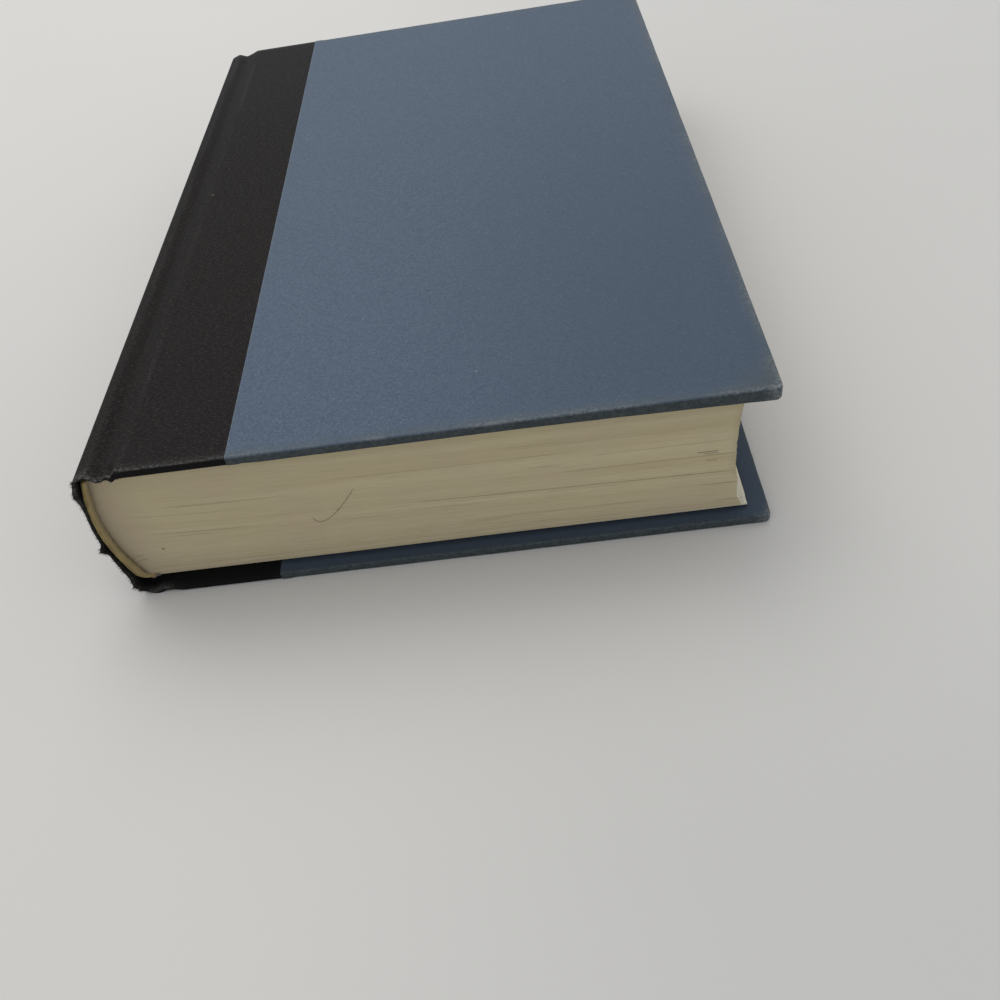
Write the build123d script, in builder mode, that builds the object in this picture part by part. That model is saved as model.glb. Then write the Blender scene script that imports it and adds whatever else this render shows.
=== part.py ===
from build123d import *
import os
from math import asin, degrees

# A hardback book, quarter bound: black cloth over the spine, paper over the boards.
# X runs from the spine to the fore-edge, Y from tail to head, Z from the table up.
# The origin is the middle of the closed book's footprint, on the table.

# The two boards
board_height = 240.6
board_width = 149.1
board_thickness = 1.9
board_corner_round = 1.5

# The covering: book cloth beside the spine, paper over the rest
skin = 0.2
cover_edge_round = 0.3
turn_in = 15.0
cloth_reach_tail = 25.1
cloth_reach_head = 23.1
lap_width = 3.0
lap_cloth = 0.08

# The endpapers: one half glued to the board, the other half free
endpaper = 0.15
leaf_clearance = 0.05

# The text block, rounded and backed
text_height = 234.0
text_width = 153.8
text_thickness = 37.7
tail_square = 4.2
spine_round = 4.8
shoulder_rise = 1.5
shoulder_width = 3.1
shoulder_round = 0.3
fore_edge_hollow_front = 2.3
fore_edge_hollow_back = 3.6

# What is glued on the block's spine
glue_line = 0.05
mull = 0.2
mull_reach = 22.0
mull_margin = 0.5
lining = 0.2
band_tape_length = 12.0
band_bead_height = 2.6
band_bead_width = 1.5
band_bead_chamfer = 0.45

# The hollow back and its card inlay
hollow = 0.3
inlay = 0.5
inlay_margin = 3.6
tail_wear = 1.8

# The joint: the fold line is where each cover turns
hinge_inset = 7.0
joint_width = 7.8
fold_reach = 1.7
fold_gap = 0.4
valley_reach = 2.8
groove_depth = 1.7
valley_round = 1.0
crest_drop = 0.55
crest_round = 1.5
shoulder_drop = 1.65
shoulder_inset = 3.8
spine_corner_round = 1.0

# Cutters run past what they cut by this much
overrun = 5.0

# Heights, from the table up
cover_stack = skin + board_thickness + skin + endpaper
cover_thickness = text_thickness + 2 * (endpaper + leaf_clearance + cover_stack)
mid_z = cover_thickness / 2
board_top = cover_thickness - skin
board_low = board_top - board_thickness
turn_in_low = board_low - skin
pastedown_low = turn_in_low - endpaper
text_top = mid_z + text_thickness / 2
text_bottom = mid_z - text_thickness / 2
ridge_z = text_top + shoulder_rise
groove_z = cover_thickness - groove_depth

# Places along X, from the spine's outermost line
cover_height = board_height + 2 * skin
cover_depth = hinge_inset + joint_width + board_width + skin
spine_x = -cover_depth / 2
hinge_x = spine_x + hinge_inset
fold_x = hinge_x + fold_reach + fold_gap
valley_x = hinge_x + valley_reach
board_x = hinge_x + joint_width
board_end = board_x + board_width
cover_end = board_end + skin
lap_end = board_x + max(cloth_reach_tail, cloth_reach_head) + lap_width
text_spine_x = spine_x + skin + inlay + skin + hollow + lining + mull
ridge_x = text_spine_x + spine_round
shoulder_foot = ridge_x + shoulder_width
hollow_x = text_spine_x + text_width
mull_end = board_x + mull_reach
field_width = cover_end - turn_in - mull_end
leaf_end_front = hollow_x + fore_edge_hollow_front
leaf_end_back = hollow_x + fore_edge_hollow_back

# Places along Y
tail_y = -cover_height / 2
head_y = cover_height / 2
text_tail_y = tail_y + tail_square
text_head_y = text_tail_y + text_height
text_mid_y = (text_tail_y + text_head_y) / 2
window_half = head_y - turn_in

# The circle that the block's spine is rounded to
ridge_half = ridge_z - mid_z
round_radius = (ridge_half**2 + spine_round**2) / (2 * spine_round)
round_x = text_spine_x + round_radius

round_axis = Axis((round_x, 0, mid_z), (0, 1, 0))
band_half = (text_thickness - band_bead_width) / 2
band_angle = degrees(asin(band_half / round_radius))

mid_plane = Plane.XY.offset(mid_z)
text_plane = Plane.XZ.offset(-text_mid_y)

# The cloth's part of the cover in plan: its edge runs a little aslant
cloth_corners = [
    (hinge_x, tail_y),
    (board_x + cloth_reach_tail, tail_y),
    (board_x + cloth_reach_head, head_y),
    (hinge_x, head_y),
]


def case_region(depth):
    """What lies inside the case's spine, taken in from its outer face by depth."""
    crest = (hinge_x, cover_thickness - crest_drop)
    shoulder = (spine_x + shoulder_inset, cover_thickness - shoulder_drop)
    valley = (valley_x, groove_z)
    far = (board_x, groove_z)
    near_points = [far, valley, crest, shoulder]
    far_points = [(x, cover_thickness - z) for x, z in reversed(near_points)]
    with BuildSketch() as region:
        with BuildLine():
            Polyline(near_points)
            ThreePointArc(shoulder, (spine_x, mid_z), far_points[0])
            Polyline(far_points)
            Line(far_points[-1], far)
        make_face()
        fillet(region.vertices().sort_by(Axis.X)[2:4], crest_round)
        fillet(region.vertices().sort_by(Axis.X)[0:2], spine_corner_round)
        if depth:
            offset(amount=-depth, mode=Mode.REPLACE)
    return region.sketch


def spine_band(inner, outer, half_height):
    """An arc laid on the block's rounded spine, from inner to outer beyond its face."""
    with BuildSketch() as band:
        with Locations((round_x, mid_z)):
            Circle(round_radius + outer)
            Circle(round_radius + inner, mode=Mode.SUBTRACT)
        with Locations((round_x - round_radius, mid_z)):
            Rectangle(round_radius, 2 * half_height, mode=Mode.INTERSECT)
    return band.sketch


def groove_cloth(thickness):
    """Cloth pressed into the groove beside the board, seen along the groove."""
    crest_z = cover_thickness - crest_drop
    slope_share = (fold_x - hinge_x) / valley_reach
    start = (fold_x, crest_z + (groove_z - crest_z) * slope_share)
    rim = (board_x - skin, cover_thickness)
    end = (board_x + skin, cover_thickness)
    with BuildSketch() as strip:
        with BuildLine():
            FilletPolyline(start, (valley_x, groove_z), rim, end, radius=valley_round)
            offset(amount=thickness, side=Side.RIGHT)
        make_face()
    return strip.sketch


def tail_cutter(setback):
    """The worn dip at the tail of the spine, seen from the back, moved up by setback."""
    low = shoulder_drop
    high = cover_thickness - shoulder_drop
    edge = tail_y + setback
    outside = tail_y - overrun
    with BuildSketch() as dip:
        with BuildLine():
            ThreePointArc((edge, low), (edge + tail_wear, mid_z), (edge, high))
            Polyline((edge, high), (outside, high), (outside, low), (edge, low))
        make_face()
    return dip.sketch


case_outside = case_region(0)
case_under_cloth = case_region(skin)
case_under_turn_in = case_region(2 * skin)
case_under_inlay = case_region(skin + inlay)
case_inside = case_region(skin + inlay + skin)
case_reach = hinge_x + fold_reach - spine_x
inlay_half = mid_z - inlay_margin
single_groove_cloth = groove_cloth(skin)
double_groove_cloth = groove_cloth(2 * skin)
cloth_wear = tail_cutter(0)
inlay_wear = tail_cutter(skin)
tape_band = spine_band(glue_line, mull, text_thickness / 2)
lining_band = spine_band(mull, mull + lining, text_thickness / 2)

# The pages: one block with a round spine, shoulders under the joints and a hollow fore-edge
with BuildPart() as text_block:
    with BuildSketch(text_plane):
        with BuildLine():
            ridge = (ridge_x, ridge_z)
            low_ridge = (ridge_x, cover_thickness - ridge_z)
            foot = (shoulder_foot, text_top)
            low_foot = (shoulder_foot, text_bottom)
            front_corner = (leaf_end_front, text_top)
            back_corner = (leaf_end_back, text_bottom)
            ThreePointArc(ridge, (text_spine_x, mid_z), low_ridge)
            TangentArc(foot, ridge, tangent=(-1, 0))
            TangentArc(low_foot, low_ridge, tangent=(-1, 0))
            Line(foot, front_corner)
            Line(low_foot, back_corner)
            ThreePointArc(front_corner, (hollow_x, mid_z), back_corner)
        make_face()
    extrude(amount=text_height / 2, both=True)
    lengthwise = text_block.edges().filter_by(Axis.Y).sort_by(Axis.Z)
    fillet([lengthwise[0], lengthwise[-1]], shoulder_round)

# Gauze on the block's spine, between the two bands
with BuildPart() as spine_mull:
    with BuildSketch(text_plane):
        add(tape_band)
    extrude(amount=text_height / 2 - band_tape_length, both=True)

# Kraft paper over the gauze and over the tapes of the bands
with BuildPart() as spine_lining:
    with BuildSketch(text_plane):
        add(lining_band)
    extrude(amount=text_height / 2, both=True)

# Tail band: a corded bead across the ends of the pages, on a tape glued to the spine
with BuildPart() as tail_band:
    bead_y = text_tail_y - band_bead_height / 2
    tape_end = text_tail_y + band_tape_length
    with BuildSketch(mid_plane) as bead:
        with Locations((text_spine_x - mull + band_bead_width / 2, bead_y)):
            Rectangle(band_bead_width, band_bead_height)
        chamfer(bead.vertices(), band_bead_chamfer)
        with Locations((text_spine_x - mull / 2, (bead_y + tape_end) / 2)):
            Rectangle(mull, tape_end - bead_y)
    revolve(axis=round_axis, revolution_arc=band_angle)
    mirror(about=mid_plane)

# Head band, the same at the other end
with BuildPart() as head_band:
    mirror(tail_band.part, about=text_plane)

# Card strip that stiffens the hollow back
with BuildPart() as spine_inlay:
    with BuildSketch(Plane.XZ):
        add(case_under_cloth)
        add(case_under_inlay, mode=Mode.SUBTRACT)
        with Locations((spine_x, mid_z)):
            Rectangle(2 * case_reach, 2 * inlay_half, mode=Mode.INTERSECT)
    extrude(amount=board_height / 2, both=True)
    with BuildSketch(Plane.YZ.offset(spine_x)):
        add(inlay_wear)
    extrude(amount=overrun, both=True, mode=Mode.SUBTRACT)

# Book cloth round the spine, from fold to fold, turned in over the card at head and tail
with BuildPart() as spine_cloth:
    with BuildSketch(Plane.XZ):
        add(case_outside)
        add(case_under_turn_in, mode=Mode.SUBTRACT)
        with Locations((spine_x, mid_z)):
            Rectangle(2 * case_reach, cover_thickness, mode=Mode.INTERSECT)
    extrude(amount=cover_height / 2, both=True)
    with BuildSketch(Plane.XZ):
        add(case_under_cloth)
        add(case_inside, mode=Mode.SUBTRACT)
        with Locations((spine_x, mid_z)):
            Rectangle(2 * case_reach, 2 * (inlay_half + skin), mode=Mode.INTERSECT)
    extrude(amount=cover_height / 2, both=True)
    with BuildSketch(Plane.XZ):
        add(case_under_cloth)
    extrude(amount=window_half, both=True, mode=Mode.SUBTRACT)
    with BuildSketch(Plane.YZ.offset(spine_x)):
        add(cloth_wear)
    extrude(amount=overrun, both=True, mode=Mode.SUBTRACT)
    add(spine_inlay.part, mode=Mode.SUBTRACT)

# Front board, its fore-edge corners rounded by wear
with BuildPart() as front_board:
    with BuildSketch(Plane.XY.offset(board_low)) as board_plan:
        with Locations(((board_x + board_end) / 2, 0)):
            Rectangle(board_width, board_height)
        fillet(board_plan.vertices().group_by(Axis.X)[-1], board_corner_round)
    extrude(amount=board_thickness)

# The space between the turn-ins, inside the board
with BuildPart() as window:
    with BuildSketch(Plane.XY.offset(board_low)):
        with Locations(((hinge_x + cover_end - turn_in) / 2, 0)):
            Rectangle(cover_end - turn_in - hinge_x, 2 * window_half)
    extrude(amount=-overrun)

# The skin over a board, before it is divided into cloth and paper
with BuildPart() as covering:
    with BuildSketch(Plane.XY.offset(turn_in_low)) as covering_plan:
        with Locations(((board_x + cover_end) / 2, 0)):
            Rectangle(cover_end - board_x, cover_height)
        fillet(covering_plan.vertices().group_by(Axis.X)[-1], board_corner_round + skin)
    extrude(amount=cover_thickness - turn_in_low)
    rims = covering.faces().filter_by(Axis.Z).edges()
    fillet(rims.sort_by(Axis.X)[2:], cover_edge_round)
    add(front_board.part, mode=Mode.SUBTRACT)
    add(window.part, mode=Mode.SUBTRACT)

# The cloth's edge under the paper, pressed thin
with BuildPart() as lap:
    with BuildSketch(Plane.YZ.offset(board_x)):
        with Locations((0, (board_low + board_top) / 2)):
            Rectangle(board_height + 2 * lap_cloth, board_thickness + 2 * lap_cloth)
    extrude(amount=lap_end - board_x)
    add(front_board.part, mode=Mode.SUBTRACT)
    add(window.part, mode=Mode.SUBTRACT)

# Black cloth over the spine side of the front board and down into the groove
with BuildPart() as front_cloth:
    add(covering.part)
    with BuildSketch():
        with BuildLine():
            Polyline(cloth_corners, close=True)
        make_face()
    extrude(amount=cover_thickness, mode=Mode.INTERSECT)
    add(lap.part)
    with BuildSketch(Plane.XZ):
        add(single_groove_cloth)
    extrude(amount=cover_height / 2, both=True)
    with BuildSketch(Plane.XZ.offset(window_half), Plane.XZ.offset(-head_y)):
        add(double_groove_cloth)
    extrude(amount=turn_in)
    add(front_board.part, mode=Mode.SUBTRACT)

# Slate paper over the rest of the front board, turned in on three edges
with BuildPart() as front_side_paper:
    add(covering.part)
    with BuildSketch():
        with BuildLine():
            Polyline(cloth_corners, close=True)
        make_face()
    extrude(amount=cover_thickness, mode=Mode.SUBTRACT)
    add(lap.part, mode=Mode.SUBTRACT)

# Wing of the gauze that holds the front cover, between board and pastedown
with BuildPart() as front_mull:
    with BuildSketch(Plane.XY.offset(turn_in_low)):
        with Locations(((fold_x + mull_end) / 2, 0)):
            Rectangle(mull_end - fold_x, 2 * (window_half - mull_margin))
    extrude(amount=skin)

# Front pastedown: over the turn-ins and the gauze, pressed down on the board between them
with BuildPart() as front_pastedown:
    with BuildSketch(Plane.XY.offset(pastedown_low)):
        with Locations(((fold_x + leaf_end_front) / 2, text_mid_y)):
            Rectangle(leaf_end_front - fold_x, text_height)
    extrude(amount=endpaper)
    with BuildSketch(Plane.XY.offset(pastedown_low)):
        with Locations(((mull_end + cover_end - turn_in) / 2, 0)):
            Rectangle(field_width, 2 * window_half)
        with Locations(((fold_x + leaf_end_front) / 2, text_mid_y)):
            Rectangle(leaf_end_front - fold_x, text_height, mode=Mode.INTERSECT)
    extrude(amount=board_low - pastedown_low)
    with BuildSketch(Plane.XY.offset(pastedown_low)):
        with Locations(((mull_end + cover_end - turn_in) / 2, 0)):
            Rectangle(field_width - 2 * endpaper, 2 * (window_half - endpaper))
    extrude(amount=board_low - pastedown_low - endpaper, mode=Mode.SUBTRACT)

# Free halves of the endpapers, tipped on the first and the last page
with BuildPart() as front_flyleaf:
    with BuildSketch(Plane.XY.offset(text_top)):
        with Locations(((shoulder_foot + leaf_end_front) / 2, text_mid_y)):
            Rectangle(leaf_end_front - shoulder_foot, text_height)
    extrude(amount=endpaper)
with BuildPart() as back_flyleaf:
    with BuildSketch(Plane.XY.offset(text_bottom)):
        with Locations(((shoulder_foot + leaf_end_back) / 2, text_mid_y)):
            Rectangle(leaf_end_back - shoulder_foot, text_height)
    extrude(amount=-endpaper)

# The back cover is the front cover seen in a mirror laid through the middle of the pages
with BuildPart() as back_board:
    mirror(front_board.part, about=mid_plane)
with BuildPart() as back_cloth:
    mirror(front_cloth.part, about=mid_plane)
with BuildPart() as back_side_paper:
    mirror(front_side_paper.part, about=mid_plane)
with BuildPart() as back_mull:
    mirror(front_mull.part, about=mid_plane)
with BuildPart() as back_pastedown:
    mirror(front_pastedown.part, about=mid_plane)

pieces = {
    "text_block": text_block,
    "spine_mull": spine_mull,
    "spine_lining": spine_lining,
    "tail_band": tail_band,
    "head_band": head_band,
    "spine_inlay": spine_inlay,
    "spine_cloth": spine_cloth,
    "front_board": front_board,
    "front_cloth": front_cloth,
    "front_side_paper": front_side_paper,
    "front_mull": front_mull,
    "front_pastedown": front_pastedown,
    "front_flyleaf": front_flyleaf,
    "back_board": back_board,
    "back_cloth": back_cloth,
    "back_side_paper": back_side_paper,
    "back_mull": back_mull,
    "back_pastedown": back_pastedown,
    "back_flyleaf": back_flyleaf,
}

os.makedirs("parts", exist_ok=True)
for label, piece in pieces.items():
    piece.part.label = label
    export_step(piece.part, f"parts/{label}.step")
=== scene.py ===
import math
import random

import bmesh
import bpy
from mathutils import Matrix, Vector, noise
from mathutils.geometry import interpolate_bezier


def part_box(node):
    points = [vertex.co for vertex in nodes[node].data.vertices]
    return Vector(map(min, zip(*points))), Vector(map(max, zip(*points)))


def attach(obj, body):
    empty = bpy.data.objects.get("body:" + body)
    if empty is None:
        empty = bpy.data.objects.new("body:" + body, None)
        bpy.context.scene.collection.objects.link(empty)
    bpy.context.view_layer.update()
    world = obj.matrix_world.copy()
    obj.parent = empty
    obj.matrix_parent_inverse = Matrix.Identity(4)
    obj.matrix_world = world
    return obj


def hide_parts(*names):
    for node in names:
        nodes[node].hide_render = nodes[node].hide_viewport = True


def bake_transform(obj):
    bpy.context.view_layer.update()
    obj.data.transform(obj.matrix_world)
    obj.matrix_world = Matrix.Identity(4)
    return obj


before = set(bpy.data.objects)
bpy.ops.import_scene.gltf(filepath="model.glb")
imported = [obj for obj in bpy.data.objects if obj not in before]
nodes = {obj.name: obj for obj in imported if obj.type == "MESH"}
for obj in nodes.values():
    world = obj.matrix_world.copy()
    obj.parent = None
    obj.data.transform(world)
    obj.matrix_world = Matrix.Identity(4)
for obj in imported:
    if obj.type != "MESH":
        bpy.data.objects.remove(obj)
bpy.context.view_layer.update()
MM = 0.001

# A hardback book lying on its back cover: black cloth over the spine, slate-blue paper over the
# boards. Lengths are in millimetres until a mesh is finished, then the mesh is scaled to metres.


def box_mm(node):
    low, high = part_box(node)
    return low / MM, high / MM


board_box = box_mm("front_board")
case_box = box_mm("front_side_paper")
block_box = box_mm("text_block")

THICKNESS = case_box[1].z
MID_Z = THICKNESS / 2
TAIL_Y = case_box[0].y
HEAD_Y = case_box[1].y
COVER_END = case_box[1].x
BOARD_X = board_box[0].x
TURN_IN_Z = case_box[0].z
BLOCK_TAIL = block_box[0].y
BLOCK_HEAD = block_box[1].y
BLOCK_HALF = 18.85
HINGE_X = -75.05
SEAM_TAIL_X = BOARD_X + 25.4
SEAM_HEAD_X = BOARD_X + 23.25
TURN_IN = 15.0


def seam_x(y):
    share = (y - TAIL_Y) / (HEAD_Y - TAIL_Y)
    return SEAM_TAIL_X + (SEAM_HEAD_X - SEAM_TAIL_X) * share


def clamp(value, low=0.0, high=1.0):
    return max(low, min(high, value))


def smooth(low, high, value):
    share = clamp((value - low) / (high - low))
    return share * share * (3 - 2 * share)


def bell(value, middle, width):
    return math.exp(-(((value - middle) / width) ** 2))


def ripple(size, *place):
    """Smooth noise between -1 and 1, with waves about size across."""
    return noise.noise(Vector(place).to_3d() / size)


# Camera and light


def place_camera():
    """The photo's camera, fitted to its cover edges, corners and page edges."""
    data = bpy.data.cameras.new("camera")
    data.lens = 34.74
    data.sensor_width = 36
    data.clip_start = 0.01
    camera = bpy.data.objects.new("camera", data)
    bpy.context.scene.collection.objects.link(camera)
    turn = Matrix(
        (
            (0.99035937, 0.12036823, 0.06855518),
            (-0.03922145, 0.71831628, -0.69461025),
            (-0.13285331, 0.68522493, 0.71611227),
        )
    )
    place = Vector((32.804, -279.146, 182.694)) * MM
    camera.matrix_world = Matrix.Translation(place) @ turn.to_4x4()
    bpy.context.scene.camera = camera


def soft_light(name, place, width, height, power, colour):
    """A wide light that faces the book."""
    data = bpy.data.lights.new(name, "AREA")
    data.shape = "RECTANGLE"
    data.size = width
    data.size_y = height
    data.energy = power
    data.color = colour
    light = bpy.data.objects.new(name, data)
    bpy.context.scene.collection.objects.link(light)
    light.location = place
    light.rotation_euler = (-Vector(place)).to_track_quat("-Z", "Y").to_euler()


place_camera()
soft_light("window_light", (-0.35, 0.7, 1.3), 1.5, 1.2, 11.6, (1.0, 0.99, 0.97))
soft_light("room_light", (1.5, -1.0, 1.2), 2.0, 1.6, 0.9, (1.0, 0.985, 0.96))
world = bpy.data.worlds.new("room")
world.use_nodes = True
sky = world.node_tree.nodes["Background"].inputs
sky["Color"].default_value = (0.93, 0.95, 1.0, 1)
sky["Strength"].default_value = 0.78
bpy.context.scene.world = world
bpy.context.scene.view_settings.view_transform = "Standard"


# Finishes


class Number:
    """A number that changes over a surface: arithmetic on it adds Math nodes."""

    def __init__(self, finish, socket):
        self.finish = finish
        self.socket = socket

    def maths(self, operation, *values):
        inputs = dict(enumerate(values))
        return self.finish.add("ShaderNodeMath", {"operation": operation}, inputs)

    def __add__(self, other):
        return self.maths("ADD", self, other)

    def __radd__(self, other):
        return self.maths("ADD", other, self)

    def __sub__(self, other):
        return self.maths("SUBTRACT", self, other)

    def __rsub__(self, other):
        return self.maths("SUBTRACT", other, self)

    def __mul__(self, other):
        return self.maths("MULTIPLY", self, other)

    def clamped(self):
        return self.maths("MINIMUM", self.maths("MAXIMUM", self, 0.0), 1.0)

    def sine(self):
        return self.maths("SINE", self)

    def bigger(self, other):
        return self.maths("MAXIMUM", self, other)

    def stepped(self, low, high):
        """From 0 at low to 1 at high, smoothly."""
        return self.finish.add(
            "ShaderNodeMapRange",
            {"interpolation_type": "SMOOTHSTEP"},
            {"Value": self, "From Min": low, "From Max": high},
        )

    def within(self, middle, inner, outer):
        """1 up to inner away from middle, 0 beyond outer."""
        rising = self.stepped(middle - outer, middle - inner)
        return rising * self.stepped(middle + outer, middle + inner)


class Finish:
    """A material: add() puts in any node, from its type, its settings and its inputs."""

    def __init__(self, name, **constants):
        self.material = bpy.data.materials.new(name)
        self.material.use_nodes = True
        self.tree = self.material.node_tree
        self.shader = self.tree.nodes["Principled BSDF"]
        for label, value in constants.items():
            self.shader.inputs[label.replace("_", " ")].default_value = value

    def add(self, kind, settings, inputs, output=0):
        node = self.tree.nodes.new(kind)
        for label, value in settings.items():
            setattr(node, label, value)
        for label, value in inputs.items():
            self.feed(node.inputs[label], value)
        return Number(self, node.outputs[output])

    def feed(self, socket, value):
        if isinstance(value, Number):
            self.tree.links.new(value.socket, socket)
        elif isinstance(value, tuple) and socket.type == "RGBA":
            socket.default_value = (*value, 1)
        else:
            socket.default_value = value

    def object_mm(self, stretch=(1, 1, 1)):
        return self.stretched("Object", tuple(1000 * share for share in stretch))

    def surface_mm(self, stretch=(1, 1, 1)):
        return self.stretched("UV", stretch)

    def stretched(self, kind, stretch):
        place = self.add("ShaderNodeTexCoord", {}, {}, kind)
        return self.add("ShaderNodeVectorMath", {"operation": "MULTIPLY"}, {0: place, 1: stretch})

    def axis(self, place, axis):
        return self.add("ShaderNodeSeparateXYZ", {}, {0: place}, axis)

    def attribute(self, name):
        return self.add("ShaderNodeAttribute", {"attribute_name": name}, {}, "Fac")

    def grain(self, place, size, detail=2.0, roughness=0.5):
        """Noise between 0 and 1 with grains about size millimetres across."""
        inputs = {"Vector": place, "Scale": 1 / size, "Detail": detail, "Roughness": roughness}
        return self.add("ShaderNodeTexNoise", {}, inputs, "Fac")

    def mix(self, share, first, second):
        inputs = {"Factor": share, 6: first, 7: second}
        return self.add("ShaderNodeMix", {"data_type": "RGBA"}, inputs, 2)

    def relief(self, height, depth, strength=1.0):
        """Bump of the given depth in millimetres for a height from 0 to 1."""
        inputs = {"Height": height, "Distance": depth * MM, "Strength": strength}
        return self.add("ShaderNodeBump", {}, inputs, "Normal")

    def done(self, colour, roughness, normal):
        self.feed(self.shader.inputs["Base Color"], colour)
        self.feed(self.shader.inputs["Roughness"], roughness)
        self.feed(self.shader.inputs["Normal"], normal)
        return self.material


def book_cloth_finish():
    cloth = Finish("black_book_cloth", Specular_IOR_Level=0.16)
    place = cloth.surface_mm()
    thread = math.pi / 0.42
    across = (cloth.axis(place, 0) * thread + cloth.grain(place, 3.0) * 1.4).sine()
    along = (cloth.axis(place, 1) * thread + cloth.grain(place, 4.0) * 1.4).sine()
    weave = (across * along + 1) * 0.5
    weft = cloth.grain(cloth.surface_mm((0.45, 1.5, 1)), 0.5, 3, 0.65)
    warp = cloth.grain(cloth.surface_mm((1.5, 0.45, 1)), 0.5, 3, 0.65)
    speck = cloth.grain(place, 0.5, 3, 0.7).stepped(0.52, 0.70)
    cloudy = cloth.grain(place, 28.0, 3)
    wear = cloth.attribute("wear")
    rubbed = cloth.grain(place, 0.8, 4, 0.75).stepped(0.44, 0.60) * 0.85 + 0.15
    worn = (wear * rubbed).clamped()
    deep = cloth.mix(cloudy, (0.0068, 0.0056, 0.0051), (0.0094, 0.0080, 0.0072))
    # Lighter toward the head end: painted sheen.
    painted_sheen_toward_head = cloth.axis(cloth.object_mm(), 1).stepped(20, 120)
    black = cloth.mix(painted_sheen_toward_head * 0.8, deep, (0.0142, 0.0128, 0.0128))
    # Lighter threads: thread tone that varies at random, and painted glints on the crowns of the
    # weave.
    threads = (weft.stepped(0.5, 0.72) * 0.7 + warp.stepped(0.56, 0.74) * 0.3 + speck * weave * 0.6)
    thread_tone_and_glint = cloth.mix(threads.clamped(), black, (0.052, 0.048, 0.043))
    rubbed_cloth = cloth.mix(worn * 0.85, thread_tone_and_glint, (0.17, 0.165, 0.155))
    # Near-black where the cloth is unworn: on the turn-ins and the boards' tail and head edges,
    # with painted shade where these faces lie in shadow.
    colour = cloth.mix(cloth.attribute("unworn_and_shaded"), rubbed_cloth, (0.0010, 0.0010, 0.0012))
    height = weave * 0.4 + weft.bigger(warp) * 0.6
    return cloth.done(colour, 0.9 - worn * 0.1, cloth.relief(height, 0.2, 0.9))


def side_paper_finish():
    paper = Finish("slate_side_paper", Specular_IOR_Level=0.36)
    place = paper.object_mm()
    across, along = paper.axis(place, 0), paper.axis(place, 1)
    cloudy = paper.grain(place, 34.0, 3)
    mottle = paper.grain(place, 0.7, 3, 0.7)
    fleck = paper.grain(place, 0.36, 2, 0.6)
    spot = paper.grain(place, 1.5, 1).stepped(0.80, 0.85)
    wear = paper.attribute("wear")
    fine = paper.grain(place, 0.8, 5, 0.75)
    worn = (wear * (fine.stepped(0.42, 0.60) * 0.85 + 0.15)).clamped()
    slate = paper.mix(cloudy, (0.032, 0.057, 0.094), (0.037, 0.064, 0.105))
    grained = paper.mix(mottle.stepped(0.40, 0.66) * 0.6, slate, (0.060, 0.091, 0.134))
    flecked = paper.mix(fleck.stepped(0.54, 0.74) * 0.85, grained, (0.125, 0.158, 0.192))
    dark = paper.mix(mottle.stepped(0.44, 0.30) * 0.4, flecked, (0.016, 0.032, 0.058))
    # Darker over the fore-edge side toward the tail: painted shade, a broad shadow across that part
    # of the cover.
    painted_shade_mask = across.stepped(-25, 60) * (1 - along.stepped(-80, 80) * 0.7)
    deeper = paper.mix(painted_shade_mask * 0.56, dark, (0.026, 0.046, 0.076))
    spotted = paper.mix(spot * 0.5, deeper, (0.22, 0.25, 0.27))
    soiled = paper.mix(paper.attribute("soil") * 0.75, spotted, (0.040, 0.054, 0.056))
    # The inner faces and turn-ins are darker and bluer: painted shade, as they lie under the pages.
    inside = paper.attribute("inner")
    inner = paper.mix(inside, soiled, (0.027, 0.045, 0.072))
    # A dark strip on the inner face beside the tail of the pages: painted shadow where the block
    # meets the board.
    painted_block_shadow = inside * along.stepped(-118.3, -116.8) * across.stepped(78, 76)
    with_painted_shade = paper.mix(painted_block_shadow * 0.6, inner, (0.008, 0.014, 0.024))
    edge_tone = paper.mix(fine.stepped(0.40, 0.62), (0.018, 0.027, 0.030), (0.042, 0.054, 0.060))
    rim = paper.mix(paper.attribute("rim"), with_painted_shade, edge_tone)
    colour = paper.mix(worn, rim, (0.19, 0.205, 0.205))
    height = mottle * 0.5 + fleck * 0.5
    return paper.done(colour, 0.50 + fleck * 0.2, paper.relief(height, 0.14, 0.8))


# Places on the tail edge are given as on the flat surface: x + y, then the height
NICK = (-185.3, 9.15, 0.0)
# Short dark gaps between leaves, painted as shade: middle, height, half length, darkness
DASHES = (
    (-49.5, 22.45, 2.2, 0.9),
    (-48.7, 21.85, 1.5, 0.8),
    (-48.5, 19.45, 1.1, 0.6),
    (-44.0, 11.35, 0.9, 0.6),
    (-55.3, 15.40, 2.6, 0.6),
)


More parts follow.
